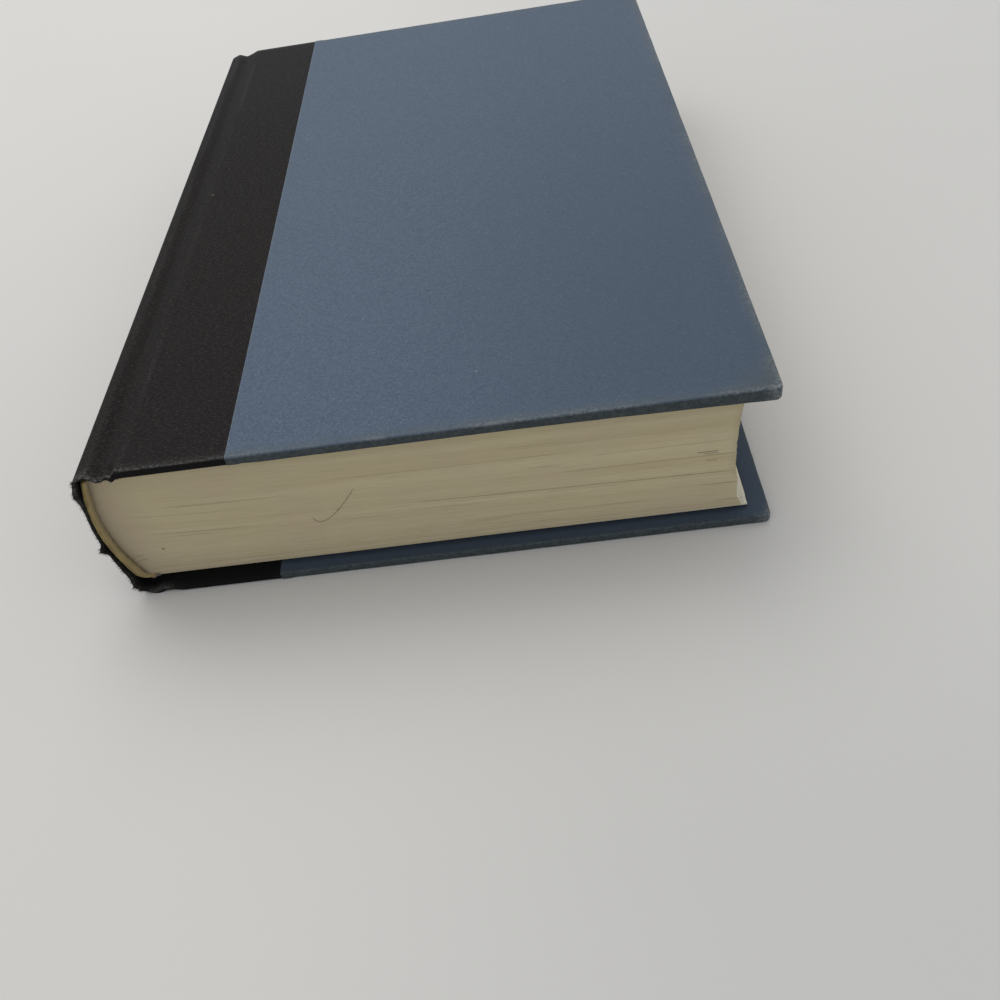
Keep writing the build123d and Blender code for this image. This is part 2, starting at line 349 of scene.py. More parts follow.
def leaf_finish():
    leaf = Finish("page_edges", Specular_IOR_Level=0.2)
    place = leaf.surface_mm()
    run, level = leaf.axis(place, 0), leaf.axis(place, 1)
    strata = leaf.grain(leaf.surface_mm((0.028, 1.0, 1)), 0.36, 4, 0.75)
    streak = leaf.grain(leaf.surface_mm((0.045, 1.0, 1)), 0.9, 4, 0.7)
    broad = leaf.grain(leaf.surface_mm((0.02, 1.0, 1)), 3.6, 3)
    cloudy = leaf.grain(place, 24.0, 2)
    fine = leaf.grain(leaf.surface_mm((0.15, 1.0, 1)), 0.35, 3)
    rosy = leaf.attribute("rosy")
    calm = 1 - rosy * 0.85
    cream = leaf.mix(broad.stepped(0.3, 0.7), (0.455, 0.388, 0.237), (0.508, 0.440, 0.281))
    ruddy = leaf.mix(cloudy.stepped(0.4, 0.7) * 0.45, cream, (0.475, 0.395, 0.278))
    # Darker toward the spine: painted shade.
    with_painted_shade = leaf.mix(run.stepped(-60, -190) * 0.2, ruddy, (0.34, 0.285, 0.18))
    pinkish = leaf.mix(rosy * 0.9, with_painted_shade, (0.350, 0.290, 0.203))
    across = run + (fine - 0.5) * 0.5
    # The pale triangle at the tail corner of the fore-edge is painted highlight, for the light the
    # flared lowest leaves catch there.
    low_leaves = level.stepped(6.6, 3.0)
    flare = (across - low_leaves * 1.2).stepped(-42.3, -42.0) * across.stepped(-31, -38)
    rubbed = flare * level.stepped(13.6, 11.6)
    nick = leaf.add("ShaderNodeVectorMath", {"operation": "DISTANCE"}, {0: place, 1: NICK}, "Value")
    lined = leaf.mix(strata.stepped(0.50, 0.26) * calm * 0.36, pinkish, (0.28, 0.23, 0.15))
    light = leaf.mix(streak.stepped(0.56, 0.76) * calm * 0.32, lined, (0.62, 0.56, 0.42))
    dim = leaf.mix(streak.stepped(0.42, 0.26) * calm * 0.25, light, (0.32, 0.27, 0.17))
    pale = leaf.mix(leaf.attribute("pale").bigger(rubbed), dim, (0.64, 0.60, 0.475))
    # Gaps between leaves, the nick and the short dashes: painted shade
    dark = leaf.attribute("gap").bigger(nick.stepped(0.42, 0.2) * 0.8)
    for middle, height, half, strength in DASHES:
        gap = run.within(middle, half, half + 0.5) * level.within(height, 0.05, 0.17)
        dark = dark.bigger(gap * strength)
    colour = leaf.mix(dark, pale, (0.13, 0.10, 0.07))
    height = strata * 0.7 + fine * 0.3
    return leaf.done(colour, 0.85 + cloudy * 0.1, leaf.relief(height, 0.10, 0.6))


def endpaper_finish():
    leaf = Finish("endpaper", IOR=1.4)
    place = leaf.surface_mm()
    cloudy = leaf.grain(place, 40.0, 3)
    pulp = leaf.grain(place, 0.8, 4, 0.7)
    plain = leaf.mix(cloudy, (0.72, 0.68, 0.57), (0.77, 0.73, 0.62))
    colour = leaf.mix(pulp.stepped(0.4, 0.7) * 0.25, plain, (0.64, 0.59, 0.47))
    return leaf.done(colour, 0.7 + pulp * 0.15, leaf.relief(pulp, 0.05, 0.5))


def band_finish():
    band = Finish("yellow_band_thread", Sheen_Weight=0.2, Specular_IOR_Level=0.25)
    place = band.object_mm()
    fluff = band.grain(place, 0.35, 3, 0.7)
    cloudy = band.grain(place, 2.4, 3)
    thread = band.mix(cloudy.stepped(0.35, 0.65), (0.212, 0.148, 0.028), (0.335, 0.236, 0.056))
    shaded = band.mix(fluff.stepped(0.55, 0.3) * 0.6, thread, (0.10, 0.075, 0.03))
    # Lighter over the inner half toward the pages: painted highlight. Darker in the grooves between
    # the thread wraps and over the outer side: painted shade.
    pale = band.mix(band.attribute("inner") * 0.7, shaded, (0.40, 0.32, 0.165))
    with_groove_shade = band.mix(band.attribute("groove_shade") * 0.5, pale, (0.085, 0.062, 0.024))
    outer = band.mix(band.attribute("outer"), with_groove_shade, (0.030, 0.024, 0.008))
    red_thread = band.mix(cloudy.stepped(0.4, 0.6), (0.060, 0.038, 0.018), (0.14, 0.085, 0.045))
    colour = band.mix(band.attribute("stitch"), outer, red_thread)
    return band.done(colour, 0.7 + fluff * 0.2, band.relief(fluff, 0.08, 0.7))


def pulp_finish(name, light, dark, fibre_mm, depth):
    """Board, card and kraft paper: fibres pressed flat, in one of two tones."""
    pulp = Finish(name, IOR=1.4)
    place = pulp.object_mm()
    fibres = pulp.grain(pulp.object_mm((0.4, 1.0, 1.0)), fibre_mm, 5, 0.7)
    cloudy = pulp.grain(place, 20.0, 3)
    tone = pulp.mix(cloudy, dark, light)
    colour = pulp.mix(fibres.stepped(0.35, 0.65) * 0.5, tone, tuple(0.7 * part for part in dark))
    return pulp.done(colour, 0.8 + fibres * 0.15, pulp.relief(fibres, depth, 0.7))


def gauze_finish():
    gauze = Finish("gauze", IOR=1.45)
    place = gauze.object_mm()
    pitch = math.pi / 0.9
    across = (gauze.axis(place, 1) * pitch).sine()
    along = (gauze.axis(place, 2) * pitch + gauze.axis(place, 0) * pitch).sine()
    net = (across * across).bigger(along * along).stepped(0.75, 0.95)
    fibre = gauze.grain(place, 0.4, 3)
    thread = gauze.mix(fibre, (0.62, 0.58, 0.47), (0.74, 0.71, 0.62))
    colour = gauze.mix(net, (0.42, 0.33, 0.18), thread)
    return gauze.done(colour, 0.8 + fibre * 0.1, gauze.relief(net, 0.1, 0.8))


def table_finish():
    table = Finish("pale_table", IOR=1.4)
    place = table.object_mm()
    cloudy = table.grain(place, 120.0, 2)
    fine = table.grain(place, 1.5, 3)
    across, deep = table.axis(place, 0), table.axis(place, 1)
    # Darker toward the right and the front: painted falloff of the light across the table.
    dim = across.stepped(-60, 60) * (deep.stepped(-120, -210) * 0.55 + 0.45)
    plain = table.mix(cloudy, (0.562, 0.549, 0.515), (0.590, 0.577, 0.546))
    with_painted_falloff = table.mix(dim * 0.5, plain, (0.44, 0.435, 0.415))
    colour = table.mix(fine * 0.08, with_painted_falloff, (0.48, 0.47, 0.44))
    return table.done(colour, 0.6 + fine * 0.05, table.relief(fine, 0.02, 0.2))


BLACK_CLOTH = book_cloth_finish()
SLATE_PAPER = side_paper_finish()
PAGE_EDGES = leaf_finish()
ENDPAPER = endpaper_finish()
BAND_THREAD = band_finish()
GREY_BOARD = pulp_finish("grey_board", (0.30, 0.28, 0.24), (0.22, 0.20, 0.17), 1.2, 0.1)
CARD = pulp_finish("spine_card", (0.40, 0.33, 0.22), (0.30, 0.24, 0.15), 1.0, 0.08)
KRAFT = pulp_finish("kraft_paper", (0.36, 0.25, 0.14), (0.27, 0.18, 0.10), 1.4, 0.06)
GAUZE = gauze_finish()
FIBRE = pulp_finish("loose_fibre", (0.036, 0.031, 0.027), (0.013, 0.011, 0.010), 0.6, 0.02)
YELLOW_FIBRE = pulp_finish(
    "loose_yellow_thread", (0.24, 0.19, 0.10), (0.12, 0.085, 0.04), 0.6, 0.02
)
TORN_PAPER = pulp_finish("torn_paper", (0.34, 0.28, 0.25), (0.20, 0.165, 0.15), 0.5, 0.02)
LINT = pulp_finish("pale_lint", (0.55, 0.55, 0.52), (0.40, 0.40, 0.38), 0.4, 0.01)
HAIR = pulp_finish("stray_hair", (0.10, 0.07, 0.045), (0.045, 0.03, 0.02), 1.5, 0.01)
TABLE = table_finish()


# Mesh helpers


def finished(bm, name, material, shade_smooth=True):
    """Scales a mesh from millimetres to metres and makes it an object at the origin."""
    bmesh.ops.scale(bm, vec=(MM, MM, MM), verts=bm.verts)
    mesh = bpy.data.meshes.new(name)
    bm.to_mesh(mesh)
    bm.free()
    mesh.materials.append(material)
    for face in mesh.polygons:
        face.use_smooth = shade_smooth
    piece = bpy.data.objects.new(name, mesh)
    bpy.context.scene.collection.objects.link(piece)
    return piece


def marked(bm, *names):
    """A value by each name on the mesh's corners, for the finish to read."""
    return [bm.verts.layers.float.new(name) for name in names]


def lay_flat(bm, along):
    """Gives each corner its two lengths along the surface, for the finish to follow."""
    uv = bm.loops.layers.uv.new("surface")
    for face in bm.faces:
        for loop in face.loops:
            loop[uv].uv = along[loop.vert.index]


def grid_sheet(columns, rows, place, marks=()):
    """A sheet of columns by rows corners. place(column, row) gives a corner in millimetres,
    its two lengths along the surface, and a value for each name in marks."""
    bm = bmesh.new()
    bmesh.ops.create_grid(bm, x_segments=columns - 1, y_segments=rows - 1, size=0.5)
    layers = marked(bm, *marks)
    along = {}
    for vert in bm.verts:
        column = round((vert.co.x + 0.5) * (columns - 1))
        row = round((vert.co.y + 0.5) * (rows - 1))
        corner, lengths, values = place(column, row)
        vert.co = corner
        along[vert.index] = lengths
        for layer, value in zip(layers, values):
            vert[layer] = value
    lay_flat(bm, along)
    return bm


def add_wall(piece, thickness, offset=-1.0):
    wall = piece.modifiers.new("wall", "SOLIDIFY")
    wall.thickness = thickness * MM
    wall.offset = offset
    wall.use_even_offset = True
    wall.use_rim = True


def subdivided(points, step):
    """The same line with more points, none further apart than step."""
    line = [points[0]]
    for start, end in zip(points, points[1:]):
        count = max(1, math.ceil((end - start).length / step))
        line += [start.lerp(end, part / count) for part in range(1, count + 1)]
    return line


def rounded_line(corners, radii, step):
    """A line through corners with each corner rounded."""
    corners = [Vector(corner) for corner in corners]
    line = [corners[0]]
    for before, corner, after, radius in zip(corners, corners[1:], corners[2:], radii):
        back = (before - corner).normalized()
        on = (after - corner).normalized()
        half = back.angle(on) / 2
        middle = corner + (back + on).normalized() * radius / math.sin(half)
        start = corner + back * radius / math.tan(half) - middle
        end = corner + on * radius / math.tan(half) - middle
        count = max(3, math.ceil((math.pi - 2 * half) * radius / step * 2))
        first = math.atan2(start.y, start.x)
        sweep = math.remainder(math.atan2(end.y, end.x) - first, 2 * math.pi)
        for part in range(count + 1):
            angle = first + sweep * part / count
            line.append(middle + radius * Vector((math.cos(angle), math.sin(angle))))
    line.append(corners[-1])
    return subdivided(line, step)


# Book cloth: one sheet from the front seam round the spine, one for the back joint

CLOTH = 0.2
CLOTH_TOP = THICKNESS - 0.05
RIM_X = BOARD_X - 0.2
VALLEY = (-72.25, 41.3)
CREST = (HINGE_X, 42.45)
SHOULDER = (-78.25, 41.35)
SPINE_RADIUS = 53.75
SPINE_CENTRE_X = -28.3
CLOTH_FORE_X = -40.0
# The cloth is free of the board before the first x, and glued to it from the second
LOOSE_X = (-70.8, -68.8)
TAIL_CAP_WEAR = 1.8
HEAD_CAP_WEAR = 0.5
# Heights of the two places where the frayed tail end of the spine cloth stands out
BUMP_Z = 16.5
LOW_BUMP_Z = 3.7
ARC_STEPS = 12
CARD_HALF = 17.9


def spine_arc():
    """The case's spine from below its front shoulder to the middle of its height."""
    start = math.asin((SHOULDER[1] - MID_Z) / SPINE_RADIUS)
    line = []
    for part in range(ARC_STEPS + 1):
        angle = start * (1 - part / ARC_STEPS)
        x = SPINE_CENTRE_X - SPINE_RADIUS * math.cos(angle)
        line.append(Vector((x, MID_Z + SPINE_RADIUS * math.sin(angle))))
    return line


def case_line():
    """The outside of the case across the spine, from the front seam to the back seam."""
    arc = spine_arc()
    corners = [(CLOTH_FORE_X, CLOTH_TOP), (RIM_X, CLOTH_TOP), VALLEY, CREST, SHOULDER, arc[1]]
    front = rounded_line(corners, (1.3, 1.6, 1.6, 1.1), 0.7)
    half = front + subdivided(arc[2:], 0.9)
    return half + [Vector((p.x, THICKNESS - p.y)) for p in reversed(half[:-1])]


def cloth_stations():
    """Each place across the case: its outside, the way in to the turned-in cloth, its length."""
    line = case_line()
    stations = []
    length = 0.0
    for index, point in enumerate(line):
        before = line[max(index - 1, 0)]
        after = line[min(index + 1, len(line) - 1)]
        length += (point - before).length
        tangent = (after - before).normalized()
        inward = Vector((-tangent.y, tangent.x))
        off_middle = abs(point.y - MID_Z)
        thick = 0.45 + 0.45 * (1 - smooth(CARD_HALF - 0.5, CARD_HALF + 1.5, off_middle))
        side = 1 if point.y > MID_Z else -1
        flat = Vector((0, side * (TURN_IN_Z + 0.03 - MID_Z) + MID_Z - point.y))
        depth = (inward * thick).lerp(flat, smooth(VALLEY[0] - 0.2, RIM_X - 1.0, point.x))
        stations.append((point, depth, length))
    return stations


STATIONS = cloth_stations()
BACK_CREST = max(i for i, s in enumerate(STATIONS) if s[0].x <= -75.5)
EDGE_STEPS = 5
TURN_STEPS = 7
FACE_STEPS = 120
FINE_STEPS = 10
FINE_END = 9.0


def cap_wear(point, tail):
    """How far the cloth's end is worn back over the spine."""
    if point.x > HINGE_X:
        return 0.0
    share = clamp(abs(point.y - MID_Z) / (SHOULDER[1] - MID_Z))
    depth = TAIL_CAP_WEAR if tail else HEAD_CAP_WEAR
    return depth * (1 - share * share)


def cloth_rows():
    """The rows of the cloth sheet, from the turn-in at the head to the turn-in at the tail:
    which end they are rounded over, how far round, and how far along."""
    rows = [("head", 2, 1 - part / TURN_STEPS) for part in range(TURN_STEPS)]
    rows += [("head", 1, 1 - part / EDGE_STEPS) for part in range(EDGE_STEPS + 1)]
    rows += [("head", 0, 1 - part / EDGE_STEPS) for part in range(EDGE_STEPS)]
    rows += [("face", 0, part / FACE_STEPS) for part in range(FACE_STEPS + 1)]
    rows += [("face", 0, 1 + part / FINE_STEPS) for part in range(1, FINE_STEPS)]
    rows += [("tail", 0, part / EDGE_STEPS) for part in range(EDGE_STEPS + 1)]
    rows += [("tail", 1, part / EDGE_STEPS) for part in range(EDGE_STEPS + 1)]
    rows += [("tail", 2, part / TURN_STEPS) for part in range(1, TURN_STEPS + 1)]
    return rows


CLOTH_ROWS = cloth_rows()


def cloth_corner(station, row):
    """Where a corner of the cloth lies, its two lengths, how worn it is, and how far it is unworn
    and darkened as painted shade.
    """
    point, depth, length = STATIONS[station]
    end, stage, share = CLOTH_ROWS[row]
    thick = depth.length
    over_board = smooth(*LOOSE_X, point.x)
    radius = min(0.44 * thick, 0.8 - 0.32 * over_board)
    tail_edge, head_edge = cloth_ends(point, length)
    turn = 90 * share
    bend = math.radians(turn)
    if end == "face":
        top, low = head_edge - radius, tail_edge + radius
        coarse_end, deep = low + FINE_END, 0.0
        if share <= 1:
            y = top + (coarse_end - top) * share
        else:
            y = coarse_end + (low - coarse_end) * (share - 1)
    elif stage == 2:
        y, deep = radius + (TURN_IN - radius) * share, thick
    elif stage == 0:
        y, deep = radius * (1 - math.sin(bend)), radius * (1 - math.cos(bend))
    else:
        bend = math.radians(90 - turn)
        y, deep = radius * (1 - math.sin(bend)), thick - radius * (1 - math.cos(bend))
    if end == "head":
        y = head_edge - y
    if end == "tail":
        y = tail_edge + y
    place = point + depth * (deep / thick)
    x = place.x
    if x > RIM_X:
        reach = (seam_x(y) + 1.2 - RIM_X) / (CLOTH_FORE_X - RIM_X)
        x = RIM_X + (x - RIM_X) * reach
    z = place.y
    if point.x < HINGE_X:
        x -= cap_bump(point) * smooth(3.0, 0.3, y - tail_edge)
    elif end != "head" and point.y > MID_Z:
        z -= droop(x) * smooth(BLOCK_TAIL - 0.3, BLOCK_TAIL - 2.8, y)
    if end != "head" and point.y < MID_Z:
        pressed = 1.3 * bell(x, -73.0, 2.6) * (1 - deep / thick)
        z = max(min(z, 0.05), z - pressed * smooth(TAIL_Y + 4.5, TAIL_Y + 1.2, y))
    rubbed = cloth_wear(point, x, y, CLOTH_ROWS[row], (y - tail_edge, head_edge - y))
    across = y + deep if end == "head" else y - deep
    return (x, y, z), (length, across), (rubbed, cloth_unworn_and_shaded(point, x, CLOTH_ROWS[row]))


def cloth_ends(point, length):
    """Where the folded cloth ends at the tail and at the head."""
    loose = 1.0 - smooth(*LOOSE_X, point.x)
    ragged = (0.12 * ripple(2.3, length, 7.0) + 0.08 * ripple(0.8, length, 3.0)) * loose
    tail_edge = TAIL_Y + cap_wear(point, True) + 0.15 * loose + ragged
    if point.x < HINGE_X:
        tail_edge -= 0.75 * bell(point.y, 36.8, 2.6)
        tail_edge -= 0.8 * bell(point.y, BUMP_Z, 1.3) + 0.5 * bell(point.y, LOW_BUMP_Z, 1.2)
    head_edge = HEAD_Y - cap_wear(point, False) - 0.1 * loose - ragged
    return tail_edge, head_edge


def cap_bump(point):
    """Where the frayed end of the spine cloth stands out, and where it is pressed in."""
    out = bell(point.y, BUMP_Z, 1.1) + 0.8 * bell(point.y, LOW_BUMP_Z, 1.0)
    return out + 0.3 * bell(point.y, 37.0, 1.8) - 0.5 * bell(point.y, 29.5, 5.0)


def droop(x):
    """How far the cloth hangs down at the tail end of the front joint, with one torn tip."""
    hang = 0.55 + 0.5 * ripple(1.6, x, 3.0) + 0.25 * ripple(0.6, x, 8.0)
    along = smooth(-78.5, -76.5, x) * smooth(-67.6, -69.4, x)
    return max(0.0, hang) * along + 0.7 * bell(x, -69.3, 0.55)


def cloth_wear(point, x, y, row, from_ends):
    """How far the black is rubbed off: along the ridges of the joints and over the ends."""
    end, stage, share = row
    rubbed = 0.18 * bell(x, RIM_X + 0.5, 0.5) * (0.4 + 0.9 * ripple(14.0, y, 5.0))
    rubbed += 0.10 * bell(x, CREST[0], 0.8) * (0.5 + ripple(20.0, y, 9.0))
    rubbed += 0.25 * bell(x, SHOULDER[0] - 0.4, 0.8) * (0.6 + ripple(17.0, y, 2.0))
    if end == "face":
        near = clamp(1 - min(from_ends) / 3.5)
        rubbed += 0.38 * near * near
    elif stage == 0:
        rubbed += 0.50 * bell(share, 0.15, 0.4)
    low = 1.0 if point.y < MID_Z else 0.0
    if end != "head" and point.y > MID_Z:
        rubbed += 0.45 * bell(x, -77.0, 3.0) * clamp(1 - from_ends[0] / 4.0)
    if end == "tail" and stage < 2:
        rubbed += 0.40 * low * bell(x, -71.0, 5.0)
        rubbed += 0.30 * (1 - low) * bell(x, -73.0, 5.0) * (1.0 if stage == 0 else 0.4)
        if point.x < HINGE_X:
            rubbed += 0.25 * ripple(1.2, point.y, 6.0)
    return clamp(rubbed)


def cloth_unworn_and_shaded(point, x, row):
    """How unworn the cloth still is, and how far it is darkened as painted shade: turned in, and on
    the boards' tail and head edges.
    """
    end, stage, share = row
    if end == "face":
        return 0.0
    if stage == 2:
        return 1.0
    if point.y < MID_Z:
        return 0.9 * smooth(-71.5, -68.5, x) if stage == 1 else 0.8
    return 0.75 * smooth(-72.0, -68.5, x) * (1.0 if stage == 1 else smooth(0.3, 0.8, share))


def cloth_piece(name, first, last):
    def corner(column, row):
        return cloth_corner(first + column, row)

    bm = grid_sheet(last - first + 1, len(CLOTH_ROWS), corner, ("wear", "unworn_and_shaded"))
    piece = finished(bm, name, BLACK_CLOTH)
    add_wall(piece, CLOTH)
    return piece


def blend_joint(piece):
    """Bakes the piece's placement into its mesh."""
    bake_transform(piece)


spine_wrap = cloth_piece("spine_cloth_wrap", 0, BACK_CREST)
back_joint = cloth_piece("back_joint_cloth", BACK_CREST, len(STATIONS) - 1)
blend_joint(spine_wrap)
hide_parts("spine_cloth", "front_cloth")
blend_joint(back_joint)
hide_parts("back_cloth")


# The card inside the spine cloth

CARD_THICK = 0.45
CARD_SHORT = 0.5
CARD_ROWS = 70
CARD_STATIONS = [i for i, s in enumerate(STATIONS) if abs(s[0].y - MID_Z) < CARD_HALF]


def card_corner(column, row):
    point, depth, length = STATIONS[CARD_STATIONS[0] + column]
    tail_edge, head_edge = cloth_ends(point, length)
    low, high = tail_edge + CARD_SHORT, head_edge - CARD_SHORT
    y = low + (high - low) * (1 - row / (CARD_ROWS - 1)) ** 2
    inner = point + depth.normalized() * 0.22
    x = inner.x - cap_bump(point) * smooth(3.0, 0.3, y - tail_edge)
    return (x, y, inner.y), (length, y), ()


card = finished(grid_sheet(len(CARD_STATIONS), CARD_ROWS, card_corner), "spine_card", CARD)
add_wall(card, CARD_THICK)
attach(card, "pages")
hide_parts("spine_inlay")


# Side papers: a tray of paper over each board, cut aslant beside the cloth, with worn edges

PAPER = 0.15
PAPER_EDGE = 0.5
PAPER_CORNER = 1.7
LAP = 3.0
# The tray starts here as a plain box, and is then cut back to the seam
BOX_LEFT = -50.0


def cut(bm, point, normal, **options):
    geometry = bm.verts[:] + bm.edges[:] + bm.faces[:]
    bmesh.ops.bisect_plane(
        bm, geom=geometry, dist=1e-5, plane_co=point, plane_no=normal, **options
    )


def slice_planes(bm, axis, places):
    normal = Matrix.Identity(3)[axis]
    for place in places:
        cut(bm, normal * place, normal)


def steps_between(low, high, fine_low):
    """Places from low to high, 3 apart, and closer beside the high end, or beside both."""
    places = []
    place = low
    while place < high:
        places.append(place)
        near = min(place - low, high - place) if fine_low else high - place
        place += 0.8 if near < 3.5 else 1.5 if near < 9 else 3.0
    return places


def round_off(bm, edges, offset, segments):
    bmesh.ops.bevel(
        bm, geom=edges, offset=offset, segments=segments, profile=0.5, affect="EDGES", material=-1
    )


def rise(edge):
    return abs(edge.verts[0].co.z - edge.verts[1].co.z)


def paper_tray():
    bm = bmesh.new()
    bmesh.ops.create_cube(bm, size=1.0)
    size = (COVER_END - BOX_LEFT, HEAD_Y - TAIL_Y, THICKNESS - TURN_IN_Z)
    bmesh.ops.scale(bm, vec=size, verts=bm.verts)
    middle = ((BOX_LEFT + COVER_END) / 2, 0, (THICKNESS + TURN_IN_Z) / 2)
    bmesh.ops.translate(bm, vec=middle, verts=bm.verts)
    uprights = [e for e in bm.edges if rise(e) > 1 and e.verts[0].co.x > 0]
    round_off(bm, uprights, PAPER_CORNER, 7)
    past = BOX_LEFT + 1
    rims = [e for e in bm.edges if rise(e) < 0.1 and max(v.co.x for v in e.verts) >= past]
    round_off(bm, rims, PAPER_EDGE, 5)
    flat = [f for f in bm.faces if abs(f.normal.x) > 0.99 and f.calc_center_median().x < past]
    bmesh.ops.delete(bm, geom=flat, context="FACES")
    slant = Vector((HEAD_Y - TAIL_Y, SEAM_TAIL_X - SEAM_HEAD_X, 0)).normalized()
    cut(bm, (SEAM_TAIL_X, TAIL_Y, 0), slant, clear_inner=True)
    for offset in (0.15, 0.35, 0.8, 2.3, 3.6, 4.6):
        cut(bm, (SEAM_TAIL_X + offset, TAIL_Y, 0), slant)
    window_x = COVER_END - TURN_IN
    window_y = HEAD_Y - TURN_IN
    slice_planes(bm, 0, [-40.5, -39.0, *steps_between(-37.5, COVER_END - 0.4, False)])
    slice_planes(bm, 1, steps_between(TAIL_Y + 0.4, HEAD_Y - 0.4, True))
    slice_planes(bm, 0, [window_x])
    slice_planes(bm, 1, [-window_y, window_y])
    inside = [f for f in bm.faces if in_window(f.calc_center_median(), window_x, window_y)]
    bmesh.ops.delete(bm, geom=inside, context="FACES")
    return bm


def in_window(place, window_x, window_y):
    return place.z < TURN_IN_Z + 0.01 and place.x < window_x and abs(place.y) < window_y


def corner_knock(place, reach):
    """How much a fore-edge corner of the board is blunted by knocks."""
    off = min(math.hypot(place.x - COVER_END, place.y - end) for end in (TAIL_Y, HEAD_Y))
    return bell(off, 0, reach)


def edge_swell(x):
    """How much thicker the front cover's edge grows toward its knocked fore-edge corners."""
    return 0.3 + 1.1 * clamp((x - 15.0) / 67.0) ** 1.6


def wear_paper(bm, seed, back):
    """Rubs, soils and dents the edges of a paper side, and laps it over the cloth."""
    wear, soil, rim, inner = marked(bm, "wear", "soil", "rim", "inner")
    for vert in bm.verts:
        place = vert.co.copy()
        from_side = min(COVER_END - place.x, place.y - TAIL_Y, HEAD_Y - place.y)
        from_top = THICKNESS - place.z
        from_low = place.z - TURN_IN_Z
        knock = corner_knock(place, 2.6)
        patch = clamp(0.5 + 1.1 * ripple(9.0, place.x, place.y, seed))
        from_seam = place.x - seam_x(place.y)
        on_top = smooth(0.5, 0.1, from_top)
        near_rim = smooth(6.0, 0.3, from_side) ** 2 * on_top
        vert[rim] = bell(from_side, 0.0, 0.6 if back else 0.4) * smooth(0.15, 0.5, from_top)
        vert[inner] = smooth(0.5, 0.2, from_low)
        wide_knock = corner_knock(place, 8.0)
        from_tail = place.y - TAIL_Y
        vert[wear] = clamp(
            0.30 * bell(from_side, 0.3, 0.6) * on_top * patch
            + 0.22 * near_rim * patch
            + 0.95 * knock * smooth(2.2, 0.2, from_side)
            + 0.30 * wide_knock * smooth(1.8, 0.3, from_tail) * on_top
            + 0.50 * bell(from_seam, 0, 0.22) * on_top
        )
        vert[soil] = clamp(smooth(3.6, 0.2, from_side) * (0.35 + 0.5 * patch) + wide_knock) * on_top
        lap = 0.12 * (1 - smooth(LAP - 0.8, LAP + 0.6, from_seam))
        inward = Vector((0, 0, -1 if from_top < from_low else 1))
        dent = 0.10 * ripple(6.0, place.x, place.y, seed + 4.0)
        dent += 0.06 * ripple(2.0, place.x, place.y, seed + 8.0)
        blunt = 0.04 * knock + 0.5 * bell(from_side, 0, 1.4) * max(0.0, dent)
        vert.co += inward * (blunt - lap)
        if back:
            vert.co.x += 0.5 * smooth(6.0, 1.0, from_seam)
            vert.co.z += 0.6 * from_top * bell(from_side, 0, 0.5) * smooth(0.6, 0.4, from_top)
        else:
            low_rim = bell(from_side, 0, 2.2) * smooth(1.6, 0.3, from_low)
            past_lap = smooth(LAP - 1.0, LAP + 4.0, from_seam)
            vert.co.z -= edge_swell(place.x) * low_rim * past_lap
        if from_side < 1.0:
            along = bell(from_tail, 0, 1.0) - bell(HEAD_Y - place.y, 0, 1.0)
            pull = Vector((-bell(COVER_END - place.x, 0, 1.0), along, 0))
            vert.co += pull * (clamp(0.03 + 0.5 * dent, 0.0, 0.07) - lap)


def side_paper(name, body, node, back):
    bm = paper_tray()
    wear_paper(bm, 31.0 if back else 2.0, back)
    if back:
        for vert in bm.verts:
            vert.co.z = THICKNESS - vert.co.z
        bmesh.ops.reverse_faces(bm, faces=bm.faces)
    piece = finished(bm, name, SLATE_PAPER)
    add_wall(piece, PAPER)
    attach(piece, body)
    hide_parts(node)


side_paper("front_paper_cover", "front_cover", "front_side_paper", False)
side_paper("back_paper_cover", "back_cover", "back_side_paper", True)


# The pages: one block, its leaves drawn as fine layers on its three cut edges

SPINE_ROUND_X = -34.91
SPINE_ROUND = 45.54
RIDGE_HALF = 20.15
RIDGE_X = -75.65
FOOT_X = -72.55
# Where the leaves end at the fore-edge: height, x
FORE_EDGE = (
    (2.65, 76.95),
    (3.4, 76.85),
    (6.9, 75.95),
    (10.2, 75.05),
    (11.7, 74.3),
    (13.9, 73.9),
    (16.0, 73.55),
    (19.1, 73.5),
    (24.4, 73.6),
    (31.3, 74.0),
    (36.1, 74.6),
    (40.4, 75.5),
)
LEAF_ROWS = 260
COLUMN_CUTS = 69
LENGTH_CUTS = 59
# The columns beside the spine: how far they reach, and their share of all
NEAR_SPINE = 9.0
NEAR_SHARE = 0.22
# Gaps seen between leaves on the tail edge, painted as shade: height at the fore-edge, first and
# last x, darkness
OPEN_GAPS = (
    (15.3, -2.5, 73.4, 0.55),
    (21.2, 33.0, 73.4, 0.35),
    (11.3, 66.0, 73.6, 0.5),
    (25.6, 40.0, 71.0, 0.22),
    (30.4, 20.0, 72.0, 0.18),
    (13.2, -68.5, -47.0, 0.35),
    (20.8, -73.0, -45.0, 0.25),
    (18.0, -52.0, -8.0, 0.22),
    (27.5, -20.0, 35.0, 0.22),
    (8.4, 10.0, 52.0, 0.25),
)


def fore_edge_x(z):
    """Where the leaves end at the fore-edge, read off a smooth line through measured points."""
    total = weight = 0.0
    for part in range(-3, 4):
        height = clamp(z + part * 0.25, FORE_EDGE[0][0], FORE_EDGE[-1][0])
        for (low, start), (high, end) in zip(FORE_EDGE, FORE_EDGE[1:]):
            if low <= height <= high:
                total += start + (end - start) * (height - low) / (high - low)
                weight += 1
                break
    return total / weight


def block_half(x):
    """Half the block's thickness: it flares at the shoulders beside the spine."""
    share = clamp((FOOT_X - x) / (FOOT_X - RIDGE_X))
    return BLOCK_HALF + (RIDGE_HALF - BLOCK_HALF) * share * share


def leaf_end_x(t):
    return SPINE_ROUND_X - math.sqrt(SPINE_ROUND**2 - (t * RIDGE_HALF) ** 2)


